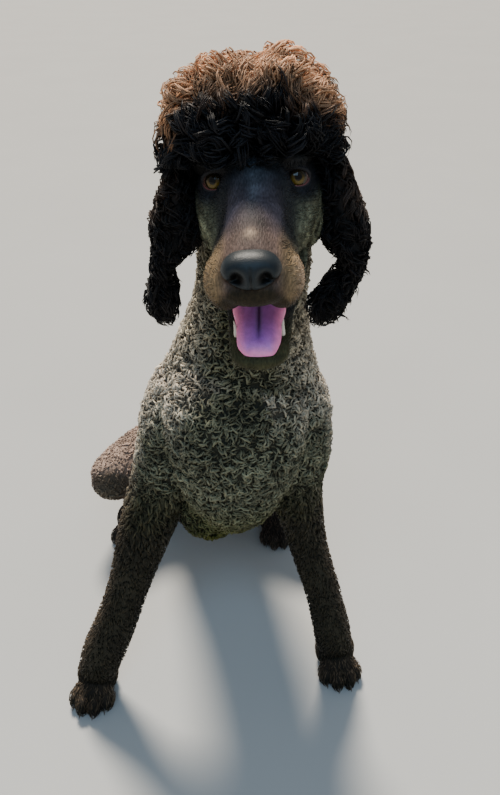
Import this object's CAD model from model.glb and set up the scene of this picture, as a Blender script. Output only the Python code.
"""The dressed standard poodle: a skin of lofted surfaces, glass eyes, a moist nose, tongue and teeth,
and a coat of curled locks, each a closed mesh that is rooted in the skin.

Tables give the outline of the coat in the dog's own frame, whose origin is on the floor under the
middle of the eyes. STAND moves it to the model's frame. Sizes are in metres, and in millimetres
where mm or head_mm turns a table's numbers into metres.
"""

import math

import bpy
import numpy as np
from mathutils import Matrix, Vector


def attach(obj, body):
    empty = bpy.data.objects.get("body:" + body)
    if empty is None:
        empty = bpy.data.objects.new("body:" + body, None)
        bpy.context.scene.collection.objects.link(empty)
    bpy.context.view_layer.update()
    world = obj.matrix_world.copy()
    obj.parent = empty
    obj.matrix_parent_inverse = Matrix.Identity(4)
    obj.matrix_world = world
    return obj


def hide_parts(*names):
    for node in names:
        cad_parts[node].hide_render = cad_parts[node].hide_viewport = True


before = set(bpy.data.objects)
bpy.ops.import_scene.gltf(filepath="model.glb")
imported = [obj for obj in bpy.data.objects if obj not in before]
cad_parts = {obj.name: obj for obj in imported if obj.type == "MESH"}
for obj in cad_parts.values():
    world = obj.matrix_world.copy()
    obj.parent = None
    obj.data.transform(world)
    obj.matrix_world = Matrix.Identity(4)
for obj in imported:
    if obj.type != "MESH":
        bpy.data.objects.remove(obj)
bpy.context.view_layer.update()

STAND = np.array((0.056, -0.301, 0.0))
HEAD_PLACE = np.array((0.004, 0.0, 0.71))
HEAD_TURNS = (math.radians(-6), math.radians(-3.5), math.radians(-2.6))
JAW_OPEN = math.radians(21)
JAW_HINGE = np.array((0.0, 0.045, -0.045))
# How deep the skin lies inside the outline of the coat.
BODY_COAT = 0.0095
LEG_COAT = 0.0036
EAR_COAT = 0.008
FACE_COAT = 0.0008
TOPKNOT_COAT = 0.029
POM_COAT = 0.018
HIP_MIDDLE = -0.076
# The parts of the body's coat meet at these heights (z) and lengths (y), and on the hips so far aside.
NECK_BASE = 0.5
CHEST_END, RUMP_START, TAIL_START = 0.135, 0.285, 0.53
RUMP_HALF = 0.075
# No lock is rooted lower than this.
LOWEST_ROOT = 0.004
# How high above the floor the lowest points of body, paws and locks stay.
BODY_GAP, PAW_GAP, LOCK_GAP = 0.0006, 0.0005, 0.0004


def mm(rows):
    """A table's millimetres as metres, to a tenth of a millimetre."""
    return np.round(np.array(rows) / 1000, 4)


def head_mm(rows):
    """The same for stations of the head, whose last number is a share and stays."""
    return np.round(np.array(rows) / (1000, 1000, 1000, 1000, 1), 4)


# Stations: x, y, z, half width, half size towards the back or front, half size the other way.
TRUNK = mm([
    (-12, 40, 462, 40, 40, 40),
    (-15, 62, 448, 74, 80, 80),
    (-16, 105, 420, 86, 132, 118),
    (-20, 165, 372, 85, 128, 140),
    (-27, 235, 315, 84, 110, 120),
    (-44, 305, 256, 80, 92, 94),
    (-64, 370, 200, 80, 84, 78),
    (-72, 430, 145, 86, 84, 80),
    (-76, 475, 96, 82, 76, 72),
    (-77, 500, 64, 56, 52, 62),
])
NECK = mm([
    (4, 78, 716, 40, 40, 40),
    (4, 88, 690, 55, 52, 48),
    (4, 96, 655, 59, 58, 53),
    (4, 104, 610, 59, 63, 55),
    (1, 114, 560, 61, 68, 60),
    (-4, 124, 510, 73, 78, 72),
    (-9, 130, 460, 88, 86, 88),
    (-14, 132, 415, 80, 70, 80),
])
RIGHT_FORELEG = mm([
    (-66, 120, 455, 34, 50, 46),
    (-76, 122, 420, 42, 62, 58),
    (-89, 120, 362, 42, 60, 55),
    (-108, 112, 308, 36, 48, 42),
    (-128, 95, 252, 33, 38, 35),
    (-151.5, 78, 180, 27.5, 31, 29),
    (-172, 67, 122, 28, 30, 29),
    (-190, 60, 78, 29.5, 30, 30),
    (-200.5, 57, 48, 27.5, 28, 28),
    (-205, 55, 32, 21, 22, 22),
])
LEFT_FORELEG = mm([
    (40, 126, 455, 34, 50, 46),
    (46, 128, 420, 42.5, 62, 58),
    (51, 128, 362, 42, 60, 55),
    (54, 126, 305, 34, 46, 40),
    (65, 119, 250, 27.5, 35, 31),
    (77.5, 111, 199, 25.2, 29, 28),
    (90.5, 103, 158, 24.6, 28, 27),
    (101, 98, 116, 24.8, 29, 28),
    (109, 96, 80, 26, 30, 29),
    (114.5, 95, 50, 26, 28, 27),
    (118, 94, 34, 21, 22, 22),
])
BRISKET = mm(((-50, 128, 287), (52, 62, 62)))
# The rump on the ground, on each side of the middle of the hips.
SEAT = mm(((42, 478, 52), (39, 46, 47)))
THIGH = mm([
    (30, 460, 130, 50, 42, 50),
    (54, 446, 126, 66, 52, 74),
    (98, 408, 128, 57, 46, 66),
    (134, 366, 130, 47, 38, 52),
    (150, 340, 130, 38, 32, 40),
    (156, 325, 129, 20, 22, 24),
])
SHANK = mm([
    (150, 338, 138, 24, 26, 26),
    (146, 348, 122, 36, 36, 36),
    (132, 384, 96, 34, 34, 35),
    (120, 428, 64, 28, 28, 29),
    (113, 458, 44, 25, 25, 26),
    (111, 470, 36, 14, 14, 14),
])
HOCK = mm([
    (111, 478, 32, 16, 18, 20),
    (112, 460, 28, 26, 28, 28),
    (116, 425, 26, 27, 27, 28),
    (119, 390, 25, 27, 27, 28),
    (120, 375, 24, 18, 18, 18),
])
TAIL = mm([
    (-77, 478, 112, 18, 18, 18),
    (-77, 505, 104, 25, 25, 25),
    (-75, 555, 78, 20, 20, 20),
    (-68, 610, 54, 18, 18, 18),
    (-54, 655, 46, 17, 17, 17),
    (-40, 684, 44, 14, 14, 14),
])
TAIL_POM = mm(((-36, 690, 44), (38, 42, 38)))
PAWS = [
    ((-0.207, 0.05), math.radians(-8), 0.94),
    ((0.12, 0.089), math.radians(10), 0.94),
    ((HIP_MIDDLE - 0.124, 0.348), math.radians(-9), 0.92),
    ((HIP_MIDDLE + 0.12, 0.348), math.radians(6), 0.92),
]
# A paw that points along -Y: wrist, pad and four toes as balls, place and half sizes.
PAW_BALLS = mm([
    ((0, 12, 26), (27, 26, 32)),
    ((0, -8, 18), (25, 27, 17)),
    ((8.2, -31, 14), (8.8, 15.5, 14.8)),
    ((-8.2, -31, 14), (8.8, 15.5, 14.8)),
    ((21.8, -20, 12), (8.4, 15, 13)),
    ((-21.8, -20, 12), (8.4, 15, 13)),
])

# The head in its own frame, midway between the eyes: y, half width, top, bottom, narrowing upwards.
HEAD = head_mm([
    (128, 18, 24, -20, 0),
    (120, 34, 36, -38, 0),
    (95, 46, 43, -62, 0),
    (60, 52, 46, -74, 0),
    (30, 51, 42, -74, 0.05),
    (5, 45, 31, -68, 0.16),
    (-12, 37, 15, -62, 0.28),
    (-30, 32, 4, -60, 0.36),
    (-55, 30, -4, -62, 0.38),
    (-80, 30, -12, -66, 0.36),
    (-96, 27, -19, -65, 0.28),
    (-106, 21, -27, -60, 0.15),
    (-111, 10, -35, -50, 0),
])
JAW = head_mm([
    (78, 20, -52, -70, 0),
    (68, 34, -46, -78, 0),
    (35, 40, -46, -83, 0),
    (0, 34, -56, -84, 0),
    (-35, 27, -62, -82, 0),
    (-66, 24.5, -63, -81, 0),
    (-84, 22.5, -63, -79, 0),
    (-93, 15, -64, -76, 0),
    (-96, 6, -67, -73, 0),
])
TONGUE = head_mm([
    (12, 10, -52, -60, 0),
    (4, 17, -48.5, -62, 0),
    (-30, 20.5, -50, -62.5, 0),
    (-46, 20.5, -52.5, -63.8, 0),
    (-60, 17.6, -54.5, -64.3, 0),
    (-72, 16.8, -56, -65, 0),
    (-80, 15.8, -57.5, -65.5, 0),
    (-86, 12.5, -59.2, -65.8, 0),
    (-89, 8.5, -60.4, -65.8, 0),
    (-90.5, 3.5, -62, -65.5, 0),
])
MOUTH_FLOOR = mm(((0, -42, -56), (18.5, 47, 12)))
MOUTH_ROOF = mm(((0, -50, -66), (22.5, 52, 18)))
# The tooth that shows on each side of the lower jaw, when the jaw is shut.
TOOTH_BASE = (0.0176, -0.0645, -0.0645)
TOOTH_HEIGHT = 0.0112
TOOTH_RADIUS = 0.0023
FACE_SWELLS = mm([
    ((40, 52, -30), (15, 36, 36)),
    ((36, 20, -16), (12, 26, 10)),
    ((24, 9, 14), (16, 15, 9)),
    ((19, -76, -51), (15.8, 26, 20.5)),
])
FACE_HOLLOWS = mm([((43, -22, 1), (14, 17, 13))])
# Soft moves of the face's skin, mirrored: middle, reach, move.
FACE_MOVES = mm([
    ((0, -10, 16), (5, 20, 12), (0, 1, -2.2)),
    ((27, -2, 15), (13, 10, 5), (0, -2.2, 1)),
    ((21, -16, -12), (6, 11, 7), (-2.2, 0.8, 0)),
    ((33, -24, -24), (12, 17, 20), (-5.5, 1, 0)),
    ((28, -52, -22), (9, 22, 10), (-2.4, 0, 0)),
    ((0, -60, -4), (6, 40, 10), (0, 0, -0.8)),
    ((30, 6, -55), (12, 16, 6), (2, 0, 0)),
    ((46, 36, -26), (12, 24, 22), (1.8, 0, 0)),
    ((0, -112, -37), (14, 8, 12), (0, 7.5, 0)),
    ((12.5, -106, -40), (6, 9, 7.5), (0, 6, 0)),
])
EYE_PLACE = (0.0292, 0.01, -0.001)
EYE_GAZE = (0.27, -0.94, 0.19)
EYE_RADIUS = 0.0112
EYE_OPENING = (0.0242, 0.0126)
EYE_SLANT = math.radians(8)
# Across a lid: how many rim angles out, how far above the eyeball.
LID_SECTION = [
    (0.93, -0.0012), (0.98, 0.0), (1.00, 0.0005), (1.05, 0.001), (1.12, 0.0014), (1.22, 0.0016),
    (1.34, 0.0016), (1.48, 0.0012), (1.62, 0.0003), (1.75, -0.0014), (1.6, -0.0034), (1.00, -0.0034),
]
NOSE_MIDDLE = np.array((0.0, -0.102, -0.0362))

RIGHT_EAR = mm([
    (-44, 46, 12, 8, 14, 14),
    (-58, 44, -4, 12.5, 30, 26),
    (-61.5, 42, -22, 18, 40, 34),
    (-65, 40, -50, 24, 42, 36),
    (-75, 38, -72, 14.5, 40, 35),
    (-79.5, 36, -90, 10.5, 36, 33),
    (-80.8, 35, -108, 15.5, 34, 31),
    (-78.5, 34, -127, 14.5, 24, 22),
    (-76, 34, -137, 6, 10, 10),
])
LEFT_EAR = mm([
    (44, 46, 14, 8, 14, 14),
    (61, 44, -2, 12.5, 30, 26),
    (66.8, 42, -22, 17, 40, 34),
    (74.5, 40, -50, 22, 42, 36),
    (82.5, 38, -72, 13.5, 40, 35),
    (81.5, 36, -88, 10, 36, 33),
    (72, 35, -106, 13.5, 34, 31),
    (60.5, 34, -125, 16.5, 26, 24),
    (54, 34, -137, 7, 12, 12),
])
TOPKNOT_CENTRE = np.array((-0.0035, 0.048, 0.0255))
TOPKNOT_RADII = np.array((0.082, 0.082, 0.0685))
TOPKNOT_POWER = 2.5

PAW_NODES = ["forepaw_r", "forepaw_l", "hind_paw_r", "hind_paw_l"]
SIDES = (("l", 1), ("r", -1))

# Kinds of lock: spacing of the roots, height above the skin, run along it, curl radius, turns,
# half width, half thickness, rings, strands, how far the strands stand apart, how far the tip tucks in.
LOCKS = {
    "body": (0.0040, 0.0062, 0.0090, 0.0023, 1.10, 0.0012, 0.0009, 5, 1, 0, 0.5),
    "back": (0.0041, 0.0060, 0.0095, 0.0019, 0.85, 0.0018, 0.0010, 4, 1, 0, 0.5),
    "haunch": (0.0049, 0.0040, 0.0080, 0.0015, 0.70, 0.0020, 0.0010, 4, 1, 0, 0.5),
    "leg": (0.0048, 0.0026, 0.0090, 0.0009, 0.50, 0.0012, 0.0008, 3, 1, 0, 0.2),
    "pom": (0.0060, 0.0130, 0.0080, 0.0030, 0.90, 0.0010, 0.0007, 6, 3, 0.0026, 0.4),
    "topknot": (0.0090, 0.0240, 0.0150, 0.0040, 0.95, 0.0009, 0.0006, 8, 7, 0.0042, 0.2),
    "temple": (0.0074, 0.0120, 0.0150, 0.0030, 0.90, 0.0009, 0.0006, 6, 4, 0.0030, 0.5),
    "ear": (0.0070, 0.0062, 0.0160, 0.0034, 1.00, 0.0009, 0.0006, 7, 4, 0.0032, 0.8),
    "face": (0.0032, 0.0006, 0.0075, 0.0, 0.0, 0.00042, 0.00018, 3, 1, 0, 0.7),
    "paw": (0.0038, 0.0022, 0.0070, 0.0006, 0.40, 0.0008, 0.0005, 3, 1, 0, 0.3),
}

# How far a kind of lock keeps to one tone, over its length and from lock to lock.
EVENNESS = {"face": 0.85, "body": 0.3, "back": 0.5, "haunch": 0.45, "topknot": 0.15}


class Flow:
    """A value that runs through a material's nodes. Arithmetic on it adds Math nodes."""

    def __init__(self, finish, socket):
        self.finish = finish
        self.socket = socket

    def math(self, operation, first, second):
        return self.finish.node("ShaderNodeMath", {"operation": operation}, [first, second])

    def __add__(self, other):
        return self.math("ADD", self, other)

    __radd__ = __add__

    def __mul__(self, other):
        return self.math("MULTIPLY", self, other)

    __rmul__ = __mul__

    def __rsub__(self, other):
        return self.math("SUBTRACT", other, self)

    def within(self, low, high):
        """0 below low, 1 above high, and a straight ramp between."""
        return self.finish.node("ShaderNodeMapRange", {"clamp": True}, [self, low, high, 0.0, 1.0])


class Finish:
    """A material under way. Every node comes from the one method, which sets it up and links it."""

    def __init__(self, name, **constants):
        self.material = bpy.data.materials.new(name)
        self.material.use_nodes = True
        self.tree = self.material.node_tree
        self.shader = self.tree.nodes["Principled BSDF"]
        for socket, value in constants.items():
            self.shader.inputs[socket.replace("_", " ")].default_value = value

    def feed(self, socket, value):
        if isinstance(value, Flow):
            self.tree.links.new(value.socket, socket)
        elif getattr(socket, "type", "") == "RGBA" and len(value) == 3:
            socket.default_value = (*value, 1.0)
        else:
            socket.default_value = value

    def node(self, kind, settings=None, values=(), out=0):
        made = self.tree.nodes.new(kind)
        for name, value in (settings or {}).items():
            setattr(made, name, value)
        pairs = values.items() if isinstance(values, dict) else enumerate(values)
        for key, value in pairs:
            self.feed(made.inputs[key], value)
        return Flow(self, made.outputs[out])

    def attribute(self, name):
        """A number that the piece's own points carry."""
        return self.node("ShaderNodeAttribute", {"attribute_name": name}, out=2)

    def mark(self):
        """The colour that the piece's own points carry."""
        return self.node("ShaderNodeAttribute", {"attribute_name": "mark"})

    def place(self):
        return self.node("ShaderNodeTexCoord", out=3)

    def noise(self, scale, detail=2.0, where=None):
        values = {"Vector": where or self.place(), "Scale": scale, "Detail": detail}
        return self.node("ShaderNodeTexNoise", values=values)

    def mix(self, factor, first, second):
        values = {0: factor, 6: first, 7: second}
        return self.node("ShaderNodeMix", {"data_type": "RGBA"}, values, out=2)

    def times(self, colour, factor):
        """A colour made lighter or darker by a number."""
        return self.node("ShaderNodeVectorMath", {"operation": "SCALE"}, {0: colour, 3: factor})

    def colour(self, value):
        self.feed(self.shader.inputs["Base Color"], value)

    def rough(self, value):
        self.feed(self.shader.inputs["Roughness"], value)

    def bump(self, height, distance, strength=1.0):
        values = {"Height": height, "Distance": distance, "Strength": strength}
        self.feed(self.shader.inputs["Normal"], self.node("ShaderNodeBump", values=values))


def coat_finish(name):
    """Hair: its colour is the mark of the place it grows on, dark at the root and light at the tip, and
    each lock a little different, with fine strands along it."""
    made = Finish(name, Roughness=0.5, Specular_IOR_Level=0.14)
    along = made.attribute("along")
    tone = made.attribute("tone")
    patch = made.noise(90.0, 2.0).within(0.3, 0.7)
    light = along.within(0.0, 0.8) * (0.35 + 0.95 * tone) * (0.75 + 0.5 * patch)
    made.colour(made.times(made.mark(), 0.16 + 0.84 * light))
    strand = made.node("ShaderNodeUVMap", {"uv_map": "strand"})
    settings = {"wave_type": "BANDS", "bands_direction": "X"}
    values = {"Vector": strand, "Scale": 3.0, "Distortion": 1.5}
    streaks = made.node("ShaderNodeTexWave", settings, values, out=1)
    made.bump(streaks, 0.0004, 0.6)
    return made.material


def skin_finish(name):
    """Skin under the coat: far darker than the hair that grows on it, matt, with soft patches."""
    made = Finish(name, Roughness=0.8, Specular_IOR_Level=0.2)
    made.colour(made.times(made.mark(), 0.07 + 0.14 * made.noise(220.0, 3.0)))
    made.bump(made.noise(900.0) * 0.2 + made.noise(260.0, 2.0), 0.0014, 0.8)
    return made.material


def moved(points, matrix):
    """Points carried by a 4 x 4 matrix."""
    matrix = np.asarray(matrix)
    return points @ matrix[:3, :3].T + matrix[:3, 3]


def unit(rows):
    """Each row made 1 long."""
    return rows / np.maximum(np.linalg.norm(rows, axis=-1, keepdims=True), 1e-9)


def ramp(values, low, high):
    """0 below low, 1 above high, and a straight line between."""
    return np.clip((values - low) / (high - low), 0, 1)


def bell(*ways):
    """exp(-d^2), where d^2 is the sum of the squares of the ways."""
    return np.exp(-sum(way**2 for way in ways))


def full_turn(count):
    """Angles spread evenly round a full turn."""
    return np.linspace(0, 2 * np.pi, count, endpoint=False)


def grid(first, second):
    """Two arrays that pair every value of the first with every value of the second."""
    return np.meshgrid(first, second, indexing="ij")


def corners(values, faces):
    """The values at the first, the second and the third corners of the triangles."""
    return (values[faces[:, k]] for k in range(3))


def lifted(points, gap):
    """The points, with those that are lower than a gap above the floor raised to it."""
    return np.maximum(points, (-np.inf, -np.inf, gap))


def head_matrix():
    """The head's place, turned by its yaw, roll and pitch."""
    pitch, roll, yaw = HEAD_TURNS
    turn = Matrix.Rotation(yaw, 4, "Z") @ Matrix.Rotation(roll, 4, "Y") @ Matrix.Rotation(pitch, 4, "X")
    return np.array(Matrix.Translation(HEAD_PLACE) @ turn)


def jaw_matrix(part=1.0):
    """The lower jaw's swing about its hinge, or a part of it."""
    hinge = Vector(JAW_HINGE)
    turn = Matrix.Rotation(JAW_OPEN * part, 4, "X")
    return np.array(Matrix.Translation(hinge) @ turn @ Matrix.Translation(-hinge))


def smooth_through(values, count):
    """Catmull-Rom curve through rows of values: each span is the cubic that meets its two rows with
    slopes of half the step between their neighbours. Read at evenly spaced places."""
    rows = np.asarray(values, float)
    rows = np.vstack([2 * rows[0] - rows[1], rows, 2 * rows[-1] - rows[-2]])
    place = np.linspace(0, len(rows) - 3, count)
    index = np.minimum(place.astype(int), len(rows) - 4)
    t = (place - index)[:, None]
    a, b, c, d = (rows[index + k] for k in range(4))
    return 0.5 * (
        2 * b + (c - a) * t + (2 * a - 5 * b + 4 * c - d) * t**2 + (3 * b - a - 3 * c + d) * t**3
    )


def band(rings, sides, shut=False):
    """Two triangles in each square between neighbouring rings of points. If it is shut, the last
    ring is joined to the first."""
    i, j = (index.ravel() for index in grid(np.arange(rings - (not shut)), np.arange(sides)))
    k, n = (j + 1) % sides, (i + 1) % rings
    a, b, c, d = i * sides + j, i * sides + k, n * sides + k, n * sides + j
    return [np.stack([a, b, c], 1), np.stack([a, c, d], 1)]


def outward(points, faces):
    """The same faces, all turned round if the closed surface they make holds a negative volume."""
    a, b, c = corners(points, faces)
    volume = (a * np.cross(b, c)).sum()
    return faces if volume > 0 else faces[:, ::-1]


def tube(rings, ends):
    """A closed surface: rings of points, with a fan of triangles from each end onto the nearer end
    point. The shape of rings is (count, sides, 3)."""
    count, sides = rings.shape[:2]
    j = np.arange(sides)
    k, base = (j + 1) % sides, (count - 1) * sides
    first = np.full(sides, count * sides)
    fans = [np.stack([first, k, j], 1), np.stack([first + 1, base + j, base + k], 1)]
    points = np.vstack([rings.reshape(-1, 3), ends])
    return points, outward(points, np.vstack([*band(count, sides), *fans]))


def limb(stations, inset, steps=72, sides=40):
    """An oval section carried along the smooth line through the stations: at turn a it reaches
    width x cos a to the side and depth x sin a to the back, each less the inset."""
    rows = smooth_through(stations, steps)
    middle = rows[:, :3]
    sizes = np.maximum(rows[:, 3:] - inset, 0.004)
    along = unit(np.gradient(middle, axis=0))
    side = unit(np.array([1.0, 0, 0]) - along * along[:, :1])
    back = np.cross(side, along)
    back *= np.where(back[:, 1:2] + back[:, 2:3] * 0.5 < 0, -1, 1)
    turn = full_turn(sides)
    cos, sin = np.cos(turn), np.sin(turn)
    width = sizes[:, :1] * cos
    depth = np.where(sin > 0, sizes[:, 1:2], sizes[:, 2:3]) * sin
    rings = middle[:, None] + side[:, None] * width[..., None] + back[:, None] * depth[..., None]
    return tube(rings, [middle[0], middle[-1]])


def head_loft(stations, more=0.0, steps=90, sides=64):
    """A length of the head: at turn a the section reaches width x cos a x (1 - narrowing x sin a) to
    the side and goes from bottom to top as sin a goes from -1 to 1."""
    rows = smooth_through(stations, steps)
    y, width, top, bottom, taper = rows.T[:, :, None]
    width, top, bottom = width + more, top + more, bottom - more
    turn = full_turn(sides)
    cos, sin = np.cos(turn), np.sin(turn)
    x = width * cos * (1 - taper * sin)
    z = (top + bottom) / 2 + (top - bottom) / 2 * sin
    ends = [(0, y[0, 0], z[0].mean()), (0, y[-1, 0], z[-1].mean())]
    return tube(np.stack([x, y + 0 * x, z], axis=-1), ends)


def ball(place, radii, rings=20, sides=32, power=2.0):
    """A ball whose half sizes are the radii: polar angle p from one pole to the other along y, turn a
    round it. A power over 2 presses it towards a box: |x/a|^n + |y/b|^n + |z/c|^n = 1."""
    p, a = grid((np.arange(rings) + 1) / (rings + 1) * np.pi, full_turn(sides))
    rows = np.stack([np.sin(p) * np.cos(a), np.cos(p), np.sin(p) * np.sin(a)], -1)
    points, faces = tube(rows, [(0, 1, 0), (0, -1, 0)])
    points /= (np.abs(points) ** power).sum(1, keepdims=True) ** (1 / power)
    return points * radii + place, faces


def together(parts):
    """Several surfaces as one list of points and one of faces."""
    offsets = np.cumsum([0] + [len(points) for points, _ in parts[:-1]])
    return np.vstack([p for p, _ in parts]), np.vstack([f + o for (_, f), o in zip(parts, offsets)])


def new_object(name, points, faces):
    """A mesh object of triangles, written as whole arrays."""
    mesh = bpy.data.meshes.new(name)
    mesh.vertices.add(len(points))
    mesh.vertices.foreach_set("co", np.ascontiguousarray(points, np.float32).ravel())
    mesh.loops.add(len(faces) * 3)
    mesh.loops.foreach_set("vertex_index", np.ascontiguousarray(faces, np.int32).ravel())
    mesh.polygons.add(len(faces))
    mesh.polygons.foreach_set("loop_start", np.arange(0, len(faces) * 3, 3, dtype=np.int32))
    mesh.polygons.foreach_set("use_smooth", np.ones(len(faces), bool))
    mesh.update(calc_edges=True)
    made = bpy.data.objects.new(name, mesh)
    bpy.context.scene.collection.objects.link(made)
    return made


def evaluated(obj):
    """The points, triangles and point normals that the object's modifiers make. It is then removed."""
    bpy.context.view_layer.update()
    graph = bpy.context.evaluated_depsgraph_get()
    mesh = bpy.data.meshes.new_from_object(obj.evaluated_get(graph))
    mesh.calc_loop_triangles()
    points = np.empty(len(mesh.vertices) * 3, np.float32)
    faces = np.empty(len(mesh.loop_triangles) * 3, np.int32)
    mesh.vertices.foreach_get("co", points)
    mesh.loop_triangles.foreach_get("vertices", faces)
    bpy.data.meshes.remove(mesh)
    bpy.data.objects.remove(obj)
    return points.reshape(-1, 3).astype(float), faces.reshape(-1, 3)


def fused(parts, voxel, relax, hollows=()):
    """Overlapping surfaces melted into one skin, with the hollows taken out, and smoothed."""
    skin = new_object("fusing", *together(parts))

    def step(kind, **settings):
        modifier = skin.modifiers.new(kind, kind)
        for name, value in settings.items():
            setattr(modifier, name, value)

    step("REMESH", mode="VOXEL", voxel_size=voxel)
    tools = [new_object("hollow", *hollow) for hollow in hollows]
    for tool in tools:
        step("BOOLEAN", operation="DIFFERENCE", solver="MANIFOLD", object=tool)
    if tools:
        step("REMESH", mode="VOXEL", voxel_size=voxel)
    step("SMOOTH", factor=0.5, iterations=relax)
    result = evaluated(skin)
    for tool in tools:
        bpy.data.objects.remove(tool)
    return result


def point_normals(points, faces):
    """Each point's normal: the sum of the cross products of its triangles' sides, made unit length."""
    a, b, c = corners(points, faces)
    cross = np.cross(b - a, c - a)
    total = np.zeros_like(points)
    for k in range(3):
        for axis in range(3):
            total[:, axis] += np.bincount(faces[:, k], cross[:, axis], len(points))
    return unit(total)


def finished(name, points, faces, finish, slot, nodes, values=None, mark=None):
    """A piece in the model's frame: its mesh, finish and attributes, riding on the root body."""
    made = new_object(name, points + STAND, faces)
    made.data.materials.append(finish)
    for key, numbers in (values or {}).items():
        layer = made.data.attributes.new(key, "FLOAT", "POINT")
        layer.data.foreach_set("value", np.ascontiguousarray(numbers, np.float32))
    if mark is not None:
        layer = made.data.attributes.new("mark", "FLOAT_COLOR", "POINT")
        colours = np.concatenate([mark, np.ones((len(mark), 1))], axis=1)
        layer.data.foreach_set("color", colours.astype(np.float32).ravel())
    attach(made, "root")
    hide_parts(*nodes)
    return made


def blend(first, second, amount):
    """Colours between the first and the second, by an amount for each row."""
    return np.asarray(first) + (np.asarray(second) - first) * np.asarray(amount)[:, None]


def layered(colour, *layers):
    """The colour under layers, each a tint and how much of it lies at each place."""
    for tint, amount in layers:
        colour = blend(colour, tint, amount)
    return colour


def on_haunch(x, y):
    """How far a place lies on the haunches: 0 on the rump, 1 well out on the thigh."""
    return ramp(y, 0.28, 0.34) * ramp(np.abs(x - HIP_MIDDLE), 0.07, 0.11)


def body_hue(places, out):
    """The body's marks: olive tan curls, paler where the skin looks up and back, dark brown on legs and
    paws and rosy brown on the haunches, in soft patches."""
    x, y, z = places.T
    aside, back, rise = np.abs(out[:, 0]), out[:, 1], out[:, 2]
    up = ramp(0.75 * rise + 0.5 * back + 0.42 * aside, 0.12, 0.8)
    behind = np.maximum(ramp(y, 0.12, 0.28), ramp(back, 0.15, 0.6))
    flank = ramp(z, 0.4, 0.52) * ramp(aside, 0.4, 0.8) * (1 - behind)
    throat = ramp(z, 0.5, 0.61) * ramp(-back, -0.2, 0.35)
    brisket = ramp(0.36 - z, 0.0, 0.1) * ramp(0.2 - y, 0.0, 0.05)
    fore = ramp(0.37 - z, 0.0, 0.1) * ramp(0.24 - y, 0.0, 0.04) * ramp(np.abs(x + 0.022), 0.035, 0.065)
    low = ramp(0.1 - z, 0.0, 0.05) * ramp(y, 0.25, 0.32)
    colour = layered(
        blend((0.185, 0.178, 0.112), (0.74, 0.61, 0.48), up),
        ((0.235, 0.18, 0.132), up * behind * 0.9),
        ((0.56, 0.49, 0.375), flank * 0.9),
        ((0.056, 0.06, 0.018), throat * (0.97 - 0.5 * aside**2)),
        ((0.066, 0.07, 0.01), brisket * 0.95),
        (blend((0.04, 0.034, 0.02), (0.2, 0.142, 0.092), up), fore),
        (blend((0.15, 0.105, 0.08), (0.48, 0.34, 0.265), up), on_haunch(x, y)),
        ((0.068, 0.052, 0.04), low * 0.85),
    )
    return colour * (1 + 0.16 * ripple(places, 0.055, 21))[:, None]


def head_places(places):
    """Places on the dog, in the head's frame."""
    return moved(places, np.linalg.inv(head_matrix()))


def crown_hue(places, out):
    """The topknot's marks: near black in front and low down, warm brown to tan on top and behind."""
    x, y, z = head_places(places).T
    up = ramp(0.8 * out[:, 2] + 0.42 * out[:, 1] + 0.45 * np.abs(out[:, 0]), 0.1, 0.75)
    height = z + 0.25 * y + 1.3 * np.maximum(np.abs(x) - 0.05, 0)
    height = height + 0.008 * ripple(places, 0.025, 31)
    sun = ramp(height, 0.035, 0.064) * up
    tips = blend((1.0, 0.52, 0.27), (0.46, 0.27, 0.165), ramp(out[:, 1], 0.15, 0.65))
    return blend((0.01, 0.01, 0.012), tips, sun)


def ear_hue(places, out):
    """The ears' marks: black, with a brown rim on the outer side at the top."""
    x, _, z = head_places(places).T
    up = ramp(out[:, 2] + 0.5 * out[:, 1], 0.0, 0.6)
    rim = ramp(z, -0.045, 0.0) * ramp(np.abs(x), 0.06, 0.078) * up
    return blend((0.012, 0.01, 0.01), (0.3, 0.18, 0.12), rim)


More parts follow.
